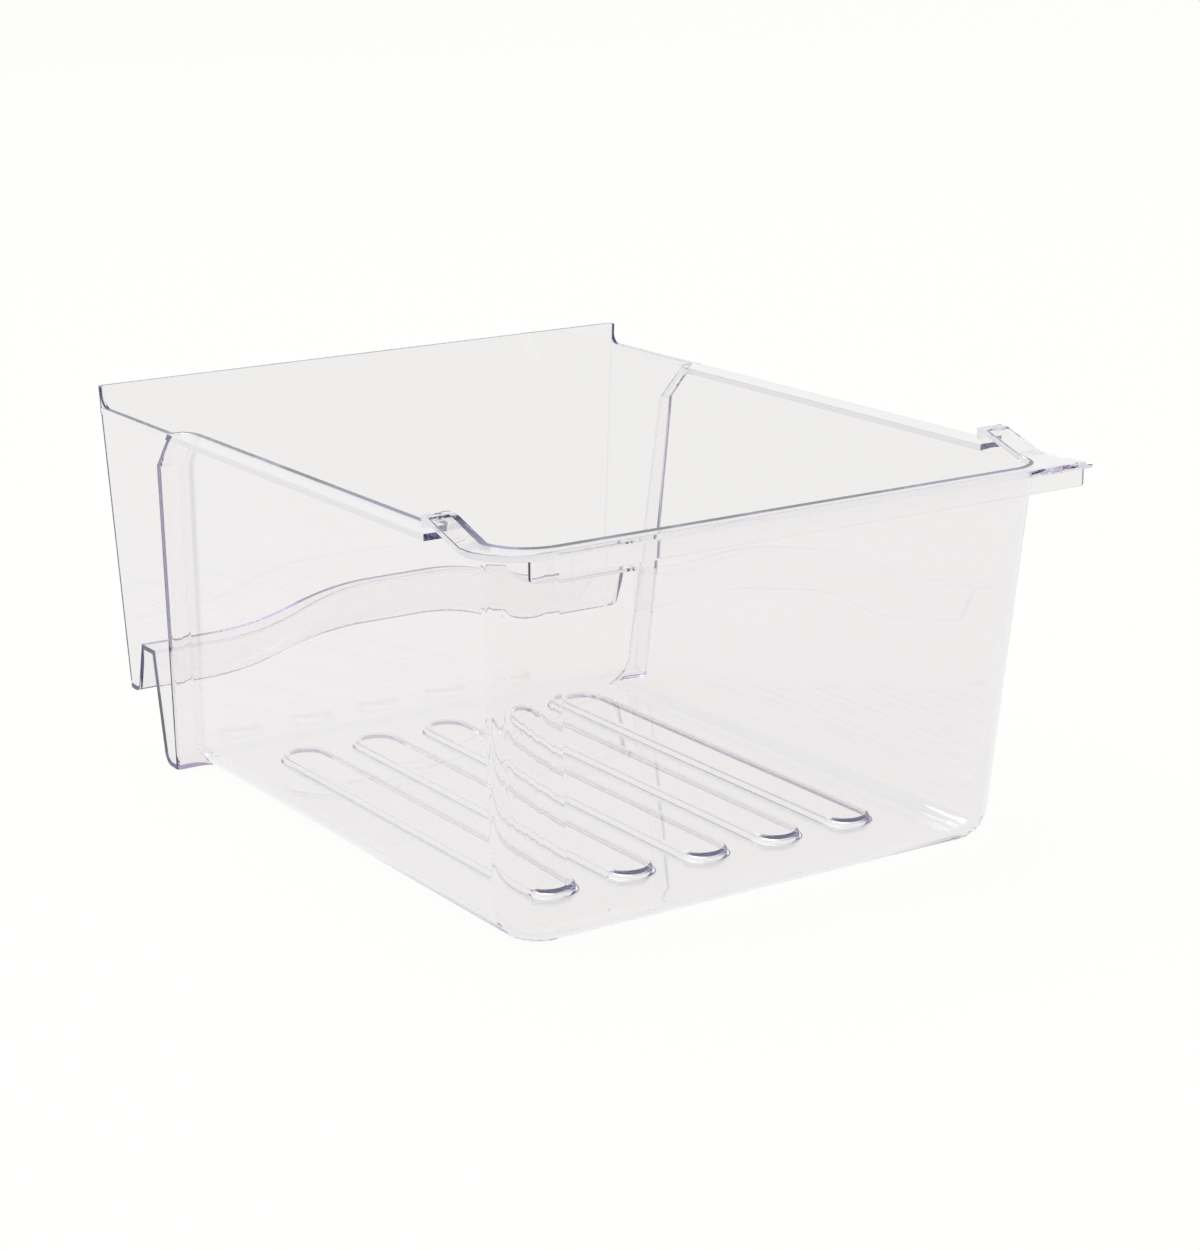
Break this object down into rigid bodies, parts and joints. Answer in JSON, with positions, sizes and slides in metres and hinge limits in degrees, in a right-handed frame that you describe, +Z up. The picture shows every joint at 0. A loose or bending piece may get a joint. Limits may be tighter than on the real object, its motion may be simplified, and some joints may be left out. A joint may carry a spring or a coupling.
{
  "type": "fridge drawer",
  "caption": "Clear moulded fridge drawer: a tapered tray with side rails, a front flange with a hanging strip, floor ribs, a wider back bay and a wavy ridge at the back.",
  "frame": {"origin": "on the underside of the floor, on the centre plane of the tray, half way between the front edge of the rim and the outside of the back panel", "axes": "X across the drawer, towards the right seen from the front; -Y is the front, the way the drawer pulls out; +Z is up"},
  "size_m": [0.3645, 0.444, 0.2185],
  "materials": {
    "clear_plastic": "clear, glossy, as moulded"
  },
  "bodies": {
    "root": {"drawer": "clear_plastic"}
  },
  "joints": []
}
